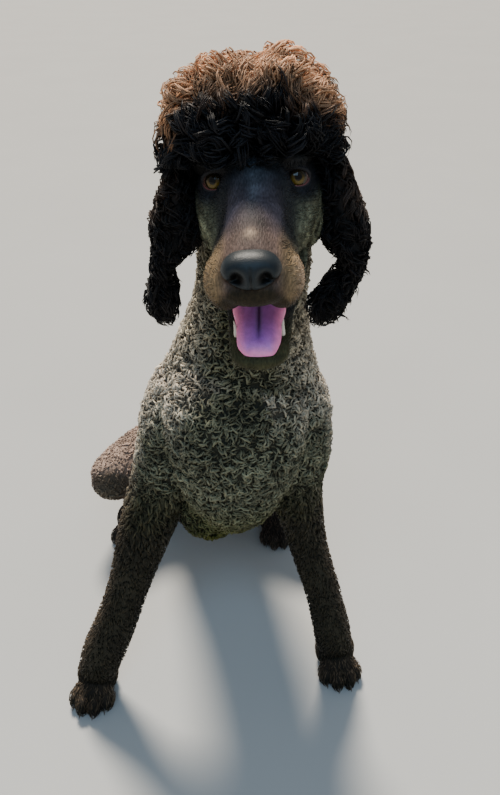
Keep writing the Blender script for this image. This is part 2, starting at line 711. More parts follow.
def face_hue(local):
    """The face's marks, by place in the head's frame: blue-black forehead and eye rims, olive-grey
    cheeks, a mauve-brown bridge with a pale streak, tan flews, a dark line on each side of the bridge
    and a dark lip line."""
    x, y, z = local.T
    side = np.abs(x)
    cheek = ramp(-z, 0.006, 0.034) * ramp(side, 0.022, 0.038) * ramp(0.085 - y, 0.0, 0.03)
    colour = blend((0.004, 0.006, 0.008), (0.13, 0.134, 0.086), cheek)
    streaky = 0.5 * ripple(local * (2.4, 1.0, 0.6), 0.013, 43)
    streaky = streaky + 0.4 * ripple(local * (1.6, 1.6, 0.5), 0.006, 45)
    colour = colour * (1 + cheek * (np.clip(streaky, -0.75, 1) - 0.12))[:, None]
    muzzle = ramp(-y, 0.01, 0.048) * ramp(0.0245 - side, 0.0, 0.006)
    flew = ramp(-y, 0.05, 0.082) * ramp(side, 0.016, 0.025)
    edge = bell((side - 0.025) / 0.0042) * ramp(0.076 + y, 0.0, 0.02) * ramp(-y, -0.014, 0.004)
    sheen = bell(x / 0.0125) * ramp(-y, -0.012, 0.012) * ramp(0.06 + y, 0.0, 0.035)
    streak = bell(x / 0.0038) * ramp(-y, 0.004, 0.03) * ramp(0.076 + y, 0.0, 0.03)
    colour = layered(
        colour,
        (blend((0.07, 0.058, 0.072), (0.09, 0.058, 0.046), ramp(-y, 0.055, 0.085)), muzzle),
        ((0.168, 0.112, 0.058), flew),
        ((0.46, 0.31, 0.2), flew * bell((x - 0.0345) / 0.0045) * 0.8),
        ((0.018, 0.018, 0.018), edge * 0.85),
        ((0.034, 0.042, 0.052), sheen * 0.55),
        ((0.085, 0.092, 0.11), streak * 0.6),
    )
    colour = colour * (1 - 0.62 * bell(x / 0.016, (y + 0.07) / 0.024))[:, None]
    spot = bell(x / 0.0036, (y + 0.088) / 0.0045) * ramp(z, -0.04, -0.02)
    lip_line = 0.04 + 0.014 * ramp(side, 0.013, 0.024)
    lip = ramp(-z - lip_line, 0.0, 0.01) * ramp(-y, 0.02, 0.05)
    chin = ramp(-z, 0.078, 0.098) * ramp(-y, 0.02, 0.05)
    colour = layered(
        colour,
        ((0.26, 0.18, 0.12), spot * 0.8),
        ((0.012, 0.009, 0.003), lip * 0.92),
        ((0.04, 0.038, 0.016), chin * 0.8),
    )
    for sign in (1, -1):
        away = (local - eye_place(sign) - (0, -0.006, 0)) / (1.25, 1, 1)
        rim = 1 - ramp(np.linalg.norm(away, axis=1), 0.013, 0.021)
        colour = blend(colour, (0.01, 0.01, 0.012), rim)
    fine = ripple(local * (2.2, 0.9, 0.8), 0.0045, 44)
    return colour * ((1 + 0.2 * ripple(local, 0.016, 41)) * (1 + 0.16 * fine))[:, None]


def mirrored(pairs):
    """Each place with its radii, and its mirror image across x = 0."""
    return [(place * (sign, 1, 1), radii) for place, radii in pairs for sign in (1, -1)]


def hind(stations, side):
    """A hind leg's stations in the dog's frame: side -1 is the dog's right."""
    return stations * (side, 1, 1, 1, 1, 1) + (HIP_MIDDLE, 0, 0, 0, 0, 0)


def scatter(points, faces, spacing, dice, wanted=None):
    """Places spread evenly over a skin: random places on its triangles, weighted by area, of which
    one is kept in each cell of a grid as wide as the spacing. Gives places and normals."""
    a, b, c = corners(points, faces)
    area = np.linalg.norm(np.cross(b - a, c - a), axis=1) / 2
    tries = 4
    count = int(area.sum() / spacing**2 * tries)
    pick = dice.choice(len(faces), count, p=area / area.sum())
    u, v = dice.random((2, count, 1))
    over = u + v > 1
    u, v = np.where(over, 1 - u, u), np.where(over, 1 - v, v)
    places = a[pick] + (b - a)[pick] * u + (c - a)[pick] * v
    n1, n2, n3 = corners(point_normals(points, faces), faces[pick])
    facing = unit(n1 + (n2 - n1) * u + (n3 - n1) * v)
    if wanted is not None:
        kept = wanted(places, facing)
        places, facing = places[kept], facing[kept]
    cells = np.floor(places / spacing).astype(int)
    _, first = np.unique(cells, axis=0, return_index=True)
    return places[first], facing[first]


def lock_faces(rings):
    """Triangles of a three-sided lock, shut by one at its root and by a fan onto its tip, and the place
    of each of their corners in the lock's patch: round it, then along it."""
    j, base, tip = np.arange(3), (rings - 1) * 3, rings * 3
    fan = np.stack([base + j, base + (j + 1) % 3, np.full(3, tip)], 1)
    faces = np.vstack([*band(rings, 3), fan, [(2, 1, 0)]])
    start = np.tile(j, rings - 1)[:, None]
    groups = [start + (0, 1, 1), start + (0, 1, 0), j[:, None] + (0, 1, 0.5), [(2, 1, 0)]]
    return faces, np.stack([np.vstack(groups) / 3, faces // 3 / rings], -1)


def ripple(places, length, seed):
    """A smooth pattern between about -1 and 1: six sine waves of about this length, added up, whose
    directions and starts are drawn from the seed."""
    dice = np.random.default_rng(seed)
    ways = unit(dice.normal(size=(6, 3))) * 2 * np.pi / (length * dice.uniform(0.8, 1.3, (6, 1)))
    return np.sin(places @ ways.T + dice.uniform(0, 2 * np.pi, 6)).sum(1) / 2.4


def locks(roots, out, flow, kind, dice, swell=1.0, phase=None, bend=None):
    """Curled locks, each of one or more three-sided tapered strands. At s from 0 to 1 the middle line has
    risen by height x (2s - (1 + tuck) s^2) along the normal and run by run x s^2 along the flow, and it
    swings about that line by the given turns, the curl's radius x min(1, 2.5s) to each side and from 1.0
    above to 0.2 below. The strands of a lock start apart and draw together by 0.8. Gives points, s,
    tone, roots and normals by strand."""
    _, height, run, radius, turns, wide, thick, rings, strands, apart, tuck = LOCKS[kind]
    count = len(roots)
    vary = dice.uniform(0.78, 1.22, (5, count, 1)) * np.asarray(swell).reshape(-1, 1)
    phase = dice.uniform(0, 2 * np.pi, (count, 1)) if phase is None else phase[:, None]
    hand = dice.choice((-1, 1), (count, 1)) if strands > 1 else 1
    tone = dice.random(count)
    if strands > 1:
        count *= strands
        roots, out, flow = (np.repeat(rows, strands, axis=0) for rows in (roots, out, flow))
        phase, hand = np.repeat(phase, strands, axis=0), np.repeat(hand, strands, axis=0)
        vary = np.repeat(vary, strands, axis=1) * dice.uniform(0.88, 1.12, (5, count, 1))
        phase = phase + dice.normal(0, 0.35, phase.shape)
        tone = np.clip(np.repeat(tone, strands) + dice.normal(0, 0.12, count), 0, 1)
    height, run, radius = height * vary[0], run * vary[1], radius * vary[2]
    s = np.linspace(0, 1, rings + 1)[None, :]
    side = np.cross(out, flow)
    away = (side * dice.normal(0, 1, (count, 1)) + flow * dice.normal(0, 1, (count, 1))) * apart

    def join(first, way, second, other):
        """At each step, a length along one direction and a length along another."""
        return first[..., None] * way + second[..., None] * other

    normal, side = out[:, None], side[:, None]
    rise, steep = height * (2 * s - (1 + tuck) * s * s), height * (2 - 2 * (1 + tuck) * s) + 1e-4
    line = join(rise, normal, run * s * s, flow[:, None])
    lead = unit(join(steep, normal, run * 2 * s, flow[:, None]))
    swing = phase + 2 * np.pi * turns * vary[3] * s * hand
    up = np.cross(lead, side)
    spoke = join(np.cos(swing), side, np.sin(swing), up)
    curl = join(np.cos(swing), side, 0.4 + 0.6 * np.sin(swing), up)
    under_skin = 0.2
    path = roots[:, None] - (under_skin * height)[..., None] * normal + line
    path = path + (radius * np.minimum(1, 2.5 * s))[..., None] * curl
    path = path + away[:, None] * (1 - 0.8 * s)[..., None]
    if bend:
        path = bend(path)
    along = unit(np.gradient(path, axis=1))
    spoke = unit(spoke - (spoke * along).sum(-1, keepdims=True) * along)
    broad = np.cross(along, spoke)
    taper = (0.7 + 1.2 * s * (1 - s)) * np.sqrt(1 - s**5 * 0.9)
    width, depth = wide * vary[4] * taper, thick * vary[4] * taper
    turn = np.array((np.pi / 2, np.pi * 7 / 6, np.pi * 11 / 6))
    rows = (
        path[:, :rings, None]
        + (width[:, :rings, None] * np.cos(turn))[..., None] * broad[:, :rings, None]
        + (depth[:, :rings, None] * np.sin(turn))[..., None] * spoke[:, :rings, None]
    )
    points = np.concatenate([rows.reshape(count, -1, 3), path[:, -1:]], axis=1)
    steps = np.concatenate([np.repeat(s[0, :rings], 3), [1.0]])
    return points, np.broadcast_to(steps, (count, len(steps))), tone, roots + away, out


def coat(name, rooted, flow, kind, dice, look, unwrap, swell=1.0, phase=None, bend=None, shade=0.0):
    """One piece of coat, rooted at places with normals. Its bake map gives every strand a small patch at
    its root's place on the unwrap of the skin, and a second map gives the strands: across and along."""
    finish, slot, nodes, hue = look
    patch_side = 0.003
    even = EVENNESS.get(kind, 0.0)
    points, along, tone, roots, out = locks(*rooted, flow, kind, dice, swell, phase, bend)
    count, each = points.shape[:2]
    faces, patch = lock_faces(LOCKS[kind][7])
    all_faces = (faces[None] + (np.arange(count) * each)[:, None, None]).reshape(-1, 3)
    tone = np.clip(tone * (1 - even) + 0.55 * even + shade, 0, 1)
    values = {"along": (even + (1 - even) * along).ravel(), "tone": np.repeat(tone, each)}
    mark = np.repeat(hue(roots, out), each, axis=0)
    points = lifted(points.reshape(-1, 3), LOCK_GAP)
    piece = finished(name, points, all_faces, finish, slot, nodes, values, mark)
    maps = {
        "OFBake": unwrap(roots)[:, None, None] + (patch[None] - 0.5) * patch_side,
        "strand": np.broadcast_to(patch[None], (count, *patch.shape)),
    }
    for title, places in maps.items():
        layer = piece.data.uv_layers.new(name=title)
        layer.data.foreach_set("uv", places.astype(np.float32).ravel())


def round_axis(start, end):
    """An unwrap of a limb's skin: the turn about the line from start to end, and the way along it."""
    start, end = np.array(start), np.array(end)
    axis = unit(end - start)
    side = unit(np.cross(axis, (0.0, 1.0, 0.1)))
    front = np.cross(axis, side)
    length = np.linalg.norm(end - start)

    def unwrap(places):
        away = places - start
        turn = np.arctan2(away @ side, away @ front) / (2 * np.pi) + 0.5
        return np.stack([0.02 + 0.96 * turn, 0.02 + 0.96 * np.clip(away @ axis / length, 0, 1)], 1)

    return unwrap


def turned(out, flow, angle):
    """Directions along the skin turned about its normal."""
    angle = angle[:, None]
    return flow * np.cos(angle) + np.cross(out, flow) * np.sin(angle)


def combed(out, fall, dice, spread):
    """Directions along the skin: the fall laid flat on it, then turned about the normal by up to the
    spread either way."""
    flat = unit(fall - out * (out * fall).sum(1, keepdims=True))
    return turned(out, flat, dice.uniform(-spread, spread, len(out)))


def body_skin(finish):
    """Trunk, neck, legs and tail, each a limb surface taken in by its coat, melted into one skin."""
    parts = [
        limb(TRUNK, BODY_COAT),
        limb(NECK, BODY_COAT),
        limb(RIGHT_FORELEG, LEG_COAT),
        limb(LEFT_FORELEG, LEG_COAT),
        limb(TAIL, LEG_COAT),
        ball(TAIL_POM[0], TAIL_POM[1] - POM_COAT),
        ball(BRISKET[0], BRISKET[1] - BODY_COAT),
    ]
    hips = [SEAT[0] * (sign, 1, 1) + (HIP_MIDDLE, 0, 0) for sign in (-1, 1)]
    parts += [ball(hip, SEAT[1]) for hip in hips]
    for side in (-1, 1):
        parts.append(limb(hind(THIGH, side), BODY_COAT * 0.8))
        parts += [limb(hind(part, side), LEG_COAT) for part in (SHANK, HOCK)]
    points, faces = fused(parts, voxel=0.0037, relax=9)
    points = lifted(points, BODY_GAP)
    nodes = ["neck", "torso", "rump", "tail", "tail_pom"]
    nodes += [f"{part}_{side}" for part in ("foreleg", "thigh", "hock") for side in "lr"]
    short = np.maximum(on_haunch(points[:, 0], points[:, 1]), is_leg(points))
    mark = body_hue(points, point_normals(points, faces)) * (1 + 2.9 * short)[:, None]
    finished("body_skin", points, faces, finish, "coat", nodes, mark=mark)
    return points, faces


def eye_place(side):
    """The middle of the eye on a side, 1 being the dog's left."""
    return np.array(EYE_PLACE) * (side, 1, 1)


def eye_axes(side):
    """Across, up and gaze of an eye in the head's frame, and its middle."""
    gaze = unit(np.array(EYE_GAZE) * (side, 1, 1))
    across = unit(np.cross((0, 0, 1), gaze))
    up = np.cross(gaze, across)
    slant = -side * EYE_SLANT
    cos, sin = math.cos(slant), math.sin(slant)
    return np.stack([across * cos + up * sin, up * cos - across * sin, gaze]), eye_place(side)


def rim_angle(turn):
    """How far from the gaze the lids' edge lies: an almond of the opening's half sizes, laid on the
    eyeball, whose sine is raised to sharpen its corners, and lower above than below."""
    width, height = EYE_OPENING[0] / 2, EYE_OPENING[1] / 2
    x = width * np.cos(turn)
    y = height * np.sin(turn) * np.abs(np.sin(turn)) ** 0.3 * (0.95 - 0.07 * np.sign(np.sin(turn)))
    return np.hypot(x, y) / EYE_RADIUS, np.arctan2(y, x)


def head_skin(finish):
    """Skull, muzzle and open jaw melted into one skin; the mouth is taken out, and then soft moves
    (each by the falling bell exp(-d^2) of the distance in reaches) shape brows, cheeks and bridge."""
    jaw, jaw_faces = head_loft(JAW, -FACE_COAT)
    parts = [head_loft(HEAD, -FACE_COAT), (moved(jaw, jaw_matrix()), jaw_faces)]
    parts += [ball(*pair) for pair in mirrored(FACE_SWELLS)]
    socket = np.full(3, EYE_RADIUS + 0.0016)
    parts += [ball(eye_place(side), socket) for side in (1, -1)]
    hollows = [ball(*pair) for pair in mirrored(FACE_HOLLOWS)]
    for shape, share in ((MOUTH_FLOOR, 1), (MOUTH_ROOF, 1 / 3)):
        hollow, hollow_faces = ball(*shape)
        hollows.append((moved(hollow, jaw_matrix(share)), hollow_faces))
    points, faces = fused(parts, voxel=0.0013, relax=6, hollows=hollows)
    for place, size, move in FACE_MOVES:
        for side in (1, -1) if place[0] else (1,):
            away = (points - place * (side, 1, 1)) / size
            points += np.exp(-(away**2).sum(1))[:, None] * move * (side, 1, 1)
    for side in (1, -1):
        axes, middle = eye_axes(side)
        local = (points - middle) @ axes.T
        far = np.linalg.norm(local, axis=1)
        turn = np.arctan2(local[:, 1], local[:, 0])
        table = np.linspace(-np.pi, np.pi, 721)
        edge, place = rim_angle(table)
        limit = np.interp(turn, place, edge) * 1.22
        inside = (np.arccos(np.clip(local[:, 2] / far, -1, 1)) < limit) & (far < 0.02)
        sunk = ((EYE_RADIUS - 0.004) / far[inside])[:, None]
        points[inside] = middle + (points[inside] - middle) * sunk
    shut = moved(points, np.linalg.inv(jaw_matrix()))
    in_floor = ((shut - MOUTH_FLOOR[0]) / (MOUTH_FLOOR[1] * 1.12)) ** 2
    half = moved(points, np.linalg.inv(jaw_matrix(1 / 3)))
    in_roof = ((half - MOUTH_ROOF[0]) / (MOUTH_ROOF[1] * 1.06)) ** 2
    inside = np.maximum(1.15 - in_floor.sum(1), 1.12 - in_roof.sum(1))
    placed = moved(points, head_matrix())
    values = {"inside": np.clip(inside * 5, 0, 1)}
    finished("head_skin", placed, faces, finish, "face", ["head"], values, face_hue(points))
    return placed, faces, inside, points


def face_finish():
    """Close-shaved hair, finely streaked along the head; the mouth's lining is pink to black."""
    made = Finish("face_hair", Specular_IOR_Level=0.12)
    values = {"Vector": made.place(), "Scale": (1000.0, 230.0, 420.0)}
    fine = made.noise(1.0, 3.0, made.node("ShaderNodeMapping", values=values))
    soft = made.noise(55.0, 3.0)
    face = made.times(made.mark(), 0.62 + 0.75 * fine.within(0.3, 0.72))
    gum = made.mix(soft.within(0.4, 0.6), (0.2, 0.055, 0.065), (0.07, 0.025, 0.03))
    inside = made.attribute("inside")
    made.colour(made.mix(inside, face, gum))
    made.rough(0.62 - 0.34 * inside)
    made.bump(fine * (1 - inside), 0.001, 0.9)
    return made.material


def round_gaze(tilt, turn):
    """Unit directions in an eye's own axes: a tilt away from the gaze, at a turn about it."""
    return np.stack([np.sin(tilt) * np.cos(turn), np.sin(tilt) * np.sin(turn), np.cos(tilt)], -1)


def eye_ball(name, side, finish):
    """An eyeball with a cornea that bulges by 0.6 mm x (1 - (t / 0.62)^2) within t = 0.62 of the gaze."""
    axes, middle = eye_axes(side)
    bulge = 0.0006
    t, a = grid(np.linspace(0, np.pi, 66)[1:-1], full_turn(64))
    reach = EYE_RADIUS + bulge * np.clip(1 - (t / 0.62) ** 2, 0, 1)
    ends = [(0, 0, EYE_RADIUS + bulge), (0, 0, -EYE_RADIUS)]
    local, faces = tube(reach[..., None] * round_gaze(t, a), ends)
    points = moved(local @ axes + middle, head_matrix())
    values = {
        "away": np.concatenate([t.ravel(), [0, np.pi]]),
        "spoke": np.concatenate([a.ravel(), [0, 0]]),
        "lit": ramp(local[:, 1], 0.0022, -0.003),
    }
    faces = outward(points, faces)
    finished(f"eye_ball_{name}", points, faces, finish, "eyes", [f"eye_{name}"], values)


def lids(name, side, finish):
    """A closed band round the eye's opening that starts under the rim, rounds over it, sinks into the
    skin and comes back beneath."""
    axes, middle = eye_axes(side)
    sides = 96
    section = smooth_through(LID_SECTION, 26)
    out, rise = section[:, :1], section[:, 1:]
    turn = full_turn(sides)
    edge, place = rim_angle(turn)
    tilt = np.minimum(edge[None] * out, 1.45)
    upper = np.clip(np.sin(turn), 0, 1)[None] * bell((out - 1.15) / 0.16)
    lift = EYE_RADIUS + rise + 0.0007 * upper
    local = (lift[..., None] * round_gaze(tilt, place)).reshape(-1, 3)
    points = moved(local @ axes + middle, head_matrix())
    faces = outward(points, np.vstack(band(len(section), sides, shut=True)))
    values = {
        "wet": np.repeat(np.clip((1.06 - section[:, 0]) / 0.06, 0, 1), sides),
        "low": np.tile(np.clip(-np.sin(turn) + 0.2, 0, 1), len(section)),
    }
    finished(f"lids_{name}", points, faces, finish, "face", ["head"], values)


def eye_finish():
    """A black pupil, a dark amber iris with spokes and a black edge, and brown white of the eye, all wet."""
    made = Finish("wet_eye", Roughness=0.04, IOR=1.33)
    away = made.attribute("away")
    spoke = made.attribute("spoke")
    pattern = made.node("ShaderNodeCombineXYZ", values=[spoke * 9.0, away * 2.0, 0.0])
    grain = made.noise(2.4, 3.0, pattern)
    iris = made.mix(grain.within(0.3, 0.7), (0.04, 0.024, 0.003), (0.17, 0.105, 0.012))
    iris = made.times(iris, 0.1 + 0.9 * made.attribute("lit"))
    iris = made.mix(away.within(0.4, 0.6), iris, (0.004, 0.003, 0.002))
    colour = made.mix(away.within(0.22, 0.27), (0.001, 0.001, 0.001), iris)
    made.colour(made.mix(away.within(0.66, 0.76), colour, (0.07, 0.036, 0.03)))
    return made.material


def lid_finish():
    """Black lid leather with a moist, pinkish lower edge."""
    made = Finish("lid_leather", Specular_IOR_Level=0.16)
    wet = made.attribute("wet")
    low = made.attribute("low")
    edge = made.mix(low, (0.01, 0.009, 0.01), (0.15, 0.05, 0.045))
    made.colour(made.mix(wet, (0.011, 0.011, 0.014), edge))
    made.rough(0.6 - 0.35 * wet * low)
    made.bump(made.noise(1500.0), 0.0003, 0.5)
    return made.material


def nose(finish):
    """The nose pad: a ball about the fore-and-aft axis, squared a little, whose front is pressed in at
    each nostril and along the groove between, by bells exp(-d^2)."""
    points, faces = ball((0, 0, 0), (1, 1, 1), 90, 120, 2.35)
    width, length, height = 0.0192, 0.0145, 0.0128
    shape = points * (width, length, height)
    x, z = shape[:, 0], shape[:, 2]
    shape[:, 0] *= 1 + 0.05 * bell((z + 0.002) / 0.007) - 0.22 * np.clip(-z / height, 0, 1)
    front = np.clip(-points[:, 1] * 2, 0, 1)
    side = np.abs(x)
    hole = bell((side - 0.0092 - 0.1 * (z + 0.004)) / 0.0044, (z + 0.0034) / 0.0046)
    slit = bell((z + 0.0058) / 0.0017, (side - 0.0135) / 0.005)
    groove = bell(x / 0.0011) * np.clip((0.006 - z) / 0.008, 0, 1)
    wing = bell((side - 0.0145) / 0.004, (z + 0.001) / 0.007)
    shape[:, 1] += front * (0.0095 * hole + 0.0034 * slit + 0.0016 * groove - 0.0012 * wing)
    placed = moved(shape + NOSE_MIDDLE, head_matrix())
    values = {"deep": np.clip(front * (hole + 0.6 * slit + 0.4 * groove), 0, 1)}
    finished("nose_pad", placed, outward(placed, faces), finish, "nose", ["nose"], values)


def nose_finish():
    """Moist slate-black leather in small cobbles, black in the nostrils."""
    made = Finish("nose_leather", Specular_IOR_Level=0.26)
    values = {"Vector": made.place(), "Scale": 800.0}
    cells = made.node("ShaderNodeTexVoronoi", {"feature": "DISTANCE_TO_EDGE"}, values)
    soft = made.noise(120.0)
    colour = made.mix(soft, (0.003, 0.007, 0.009), (0.006, 0.011, 0.015))
    made.colour(made.mix(made.attribute("deep").within(0.15, 0.55), colour, (0.001, 0.001, 0.001)))
    made.rough(0.44 + 0.08 * soft)
    made.bump(cells.within(0.0, 0.3), 0.00014, 0.45)
    return made.material


def tongue(finish):
    """The tongue on the open jaw: a head surface with a groove down its middle, exp(-(x/w)^2), edges that
    curl up and a tip that hangs over the front of the jaw."""
    points, faces = head_loft(TONGUE, 0.0, 80, 72)
    x, y, z = points.T
    stations = TONGUE[::-1]
    across = np.abs(x) / np.interp(y, stations[:, 0], stations[:, 1])
    on_top = np.clip((z + 0.0585) / 0.004, 0, 1)
    z = z - 0.003 * bell(x / 0.0022) * on_top * ramp(y, -0.086, -0.07)
    z = z + 0.0034 * across**3 * on_top * ramp(y, -0.088, -0.06)
    hang = np.clip((-y - 0.07) / 0.025, 0, 1)
    z = z - 0.004 * hang**2
    x = x + 0.0006 * np.sin(y * 420 + 1.0) * hang
    placed = moved(np.stack([x, y, z], 1), head_matrix() @ jaw_matrix())
    edge = np.maximum(across, ramp(-y, 0.076, 0.0895))
    groove = bell(points[:, 0] / 0.0018) * ramp(y, -0.082, -0.066)
    values = {"edge": np.clip(edge, 0, 1), "groove": groove}
    finished("tongue_flesh", placed, outward(placed, faces), finish, "tongue", ["tongue"], values)


def tongue_finish():
    """Moist flesh, blue-mauve in the middle, pink at its edge and dark in the groove, with small bumps."""
    made = Finish("tongue_flesh", Specular_IOR_Level=0.5)
    made.shader.inputs["Subsurface Weight"].default_value = 0.15
    made.shader.inputs["Subsurface Radius"].default_value = (0.006, 0.002, 0.002)
    edge = made.attribute("edge")
    buds = made.node("ShaderNodeTexVoronoi", values={"Vector": made.place(), "Scale": 900.0})
    soft = made.noise(240.0, 3.0)
    middle = made.mix(edge.within(0.1, 0.62), (0.33, 0.115, 0.45), (0.52, 0.17, 0.48))
    middle = made.mix(made.attribute("groove"), middle, (0.08, 0.03, 0.11))
    colour = made.mix(edge.within(0.58, 0.9), middle, (0.88, 0.24, 0.46))
    made.colour(made.times(colour, 0.7 + 0.6 * soft))
    made.rough(0.26 + 0.25 * soft)
    made.bump(buds, 0.0003, 0.6)
    return made.material


def teeth(finish):
    """Side teeth of the lower jaw: cones whose radius is r x (1 - h)^0.7 at height h, leaning back
    as h^2."""
    x, y, z = TOOTH_BASE
    for name, side in SIDES:
        h, a = grid(np.linspace(-0.25, 0.97, 12), full_turn(14))
        reach = TOOTH_RADIUS * np.clip(1 - np.clip(h, 0, 1), 0.02, 1) ** 0.7
        lean = 0.22 * TOOTH_HEIGHT * np.clip(h, 0, 1) ** 2
        far = lean.max()
        px = side * (x + reach * np.cos(a) * 0.85 + lean * 0.5)
        rings = np.stack([px, y + reach * np.sin(a) + lean, z + TOOTH_HEIGHT * h], -1)
        root = (side * x, y, z - 0.25 * TOOTH_HEIGHT)
        points, faces = tube(rings, [root, (side * (x + far * 0.5), y + far, z + TOOTH_HEIGHT)])
        placed = moved(points, head_matrix() @ jaw_matrix())
        finished(f"teeth_row_{name}", placed, faces, finish, "teeth", [f"teeth_{name}"])


def tooth_finish():
    """Ivory enamel, yellower towards the gum."""
    made = Finish("enamel", Roughness=0.18, Specular_IOR_Level=0.5)
    made.colour(made.mix(made.noise(300.0), (0.62, 0.55, 0.42), (0.74, 0.7, 0.6)))
    return made.material


def ear_skins(finish):
    """The ears' flaps, each a limb surface taken in by its coat. Gives them for the coat to grow on."""
    skins = []
    for name, stations in (("r", RIGHT_EAR), ("l", LEFT_EAR)):
        points, faces = fused([limb(stations, EAR_COAT * 0.75)], voxel=0.0025, relax=4)
        points = points + HEAD_PLACE
        mark = ear_hue(points, points)
        finished(f"ear_skin_{name}", points, faces, finish, "ears", [f"ear_{name}"], mark=mark)
        skins.append((name, points, faces))
    return skins


def topknot_core(finish):
    """A ball pressed towards a box, on the crown, in which the topknot's locks are rooted."""
    points, faces = ball(TOPKNOT_CENTRE, TOPKNOT_RADII - TOPKNOT_COAT, 40, 64, TOPKNOT_POWER)
    points = moved(points, head_matrix())
    mark = crown_hue(points, point_normals(points, faces)) * 0.9
    finished("topknot_core", points, faces, finish, "topknot", ["topknot"], mark=mark)
    return points, faces


def paw_skins(finish, claw):
    """Paws of balls melted together, pressed flat under the sole, and claws: cones of radius
    r x (1 - h)^0.6 that bend down by h^2."""
    balls = [ball(place, radii, 24, 40) for place, radii in PAW_BALLS]
    base, faces = fused(balls, voxel=0.002, relax=3)
    skins, claws = [], []
    h, a = grid(np.linspace(0, 0.96, 10), full_turn(12))
    reach = 0.0021 * (1 - h) ** 0.6
    length, drop = 0.007, 0.0065
    for spot, turn, scale in PAWS:
        place = Matrix.Translation((*spot, 0)) @ Matrix.Rotation(turn, 4, "Z") @ Matrix.Scale(scale, 4)
        skins.append((lifted(moved(base, place), PAW_GAP), faces))
        for (x, y, z), radii in PAW_BALLS[2:]:
            y, z, aside = y - radii[1] * 0.86, z - 0.001, math.copysign(0.1, x) * 0.011
            px = x + reach * np.cos(a) * 0.8 + aside * h
            rings = np.stack([px, y - length * h, z + reach * np.sin(a) - drop * h * h], -1)
            cone, sides = tube(rings, [(x, y, z), (x + aside, y - 0.0073, z - 0.0069)])
            claws.append((moved(cone, place), sides))
    points, faces = together(skins)
    mark = body_hue(points, point_normals(points, faces))
    finished("paw_skin", points, faces, finish, "paws", PAW_NODES, mark=mark)
    finished("claws", *together(claws), claw, "paws", PAW_NODES)
    return points, faces


def claw_finish():
    """Near-black horn with a faint grain along it."""
    made = Finish("claw_horn", Roughness=0.32, Specular_IOR_Level=0.5)
    made.colour(made.mix(made.noise(260.0), (0.012, 0.01, 0.009), (0.05, 0.038, 0.03)))
    made.bump(made.noise(900.0), 0.0002, 0.4)
    return made.material


def where_grows(places):
    """For each part of the body's coat, which of the places it may be rooted at."""
    x, y, z = places.T
    leg, hips = is_leg(places), x - HIP_MIDDLE
    body, hind_part = ~leg & (z <= NECK_BASE), ~leg & (y >= RUMP_START)
    hock = leg & (y > 0.25) & (y < TAIL_START)
    pom = np.linalg.norm(places - TAIL_POM[0], axis=1) <= 0.034
    return {
        "neck_coat": (z > NECK_BASE) & (z < 0.7),
        "chest_coat": body & (y < CHEST_END),
        "back_coat": body & (y >= CHEST_END) & (y < RUMP_START),
        "rump_coat": hind_part & (np.abs(hips) <= RUMP_HALF) & (y < TAIL_START),
        "haunch_coat_r": hind_part & (x < HIP_MIDDLE - RUMP_HALF),
        "haunch_coat_l": hind_part & (x > HIP_MIDDLE + RUMP_HALF),
        "foreleg_coat_r": leg & (x < 0) & (y < 0.25),
        "foreleg_coat_l": leg & (x > 0) & (y < 0.25),
        "hock_coat_r": hock & (hips < 0),
        "hock_coat_l": hock & (hips > 0),
        "tail_coat": (y >= TAIL_START) & ~pom,
        "tail_pom_coat": pom,
    }


# Parts of the body's coat: kind of lock, node, and the line round which its skin is unwrapped.
BODY_COATS = {
    "neck_coat": ("body", "neck", (0, 0.1, 0.7), (0, 0.12, 0.49)),
    "chest_coat": ("body", "torso", (-0.015, 0.12, 0.52), (-0.03, 0.16, 0.2)),
    "back_coat": ("back", "torso", (-0.02, 0.08, 0.45), (-0.045, 0.32, 0.25)),
    "rump_coat": ("back", "rump", (-0.05, 0.28, 0.27), (-0.077, 0.52, 0.06)),
    "haunch_coat_r": ("haunch", "thigh_r", (-0.1, 0.47, 0.12), (-0.235, 0.32, 0.13)),
    "haunch_coat_l": ("haunch", "thigh_l", (-0.05, 0.47, 0.12), (0.083, 0.32, 0.13)),
    "foreleg_coat_r": ("leg", "foreleg_r", (-0.09, 0.12, 0.34), (-0.21, 0.055, 0.03)),
    "foreleg_coat_l": ("leg", "foreleg_l", (0.052, 0.125, 0.34), (0.118, 0.094, 0.03)),
    "hock_coat_r": ("leg", "hock_r", (-0.19, 0.49, 0.03), (-0.2, 0.34, 0.03)),
    "hock_coat_l": ("leg", "hock_l", (0.035, 0.49, 0.03), (0.045, 0.34, 0.03)),
    "tail_coat": ("leg", "tail", (-0.077, 0.52, 0.1), (-0.05, 0.67, 0.045)),
    "tail_pom_coat": ("pom", "tail_pom", (-0.05, 0.65, 0.044), (-0.02, 0.73, 0.044)),
}


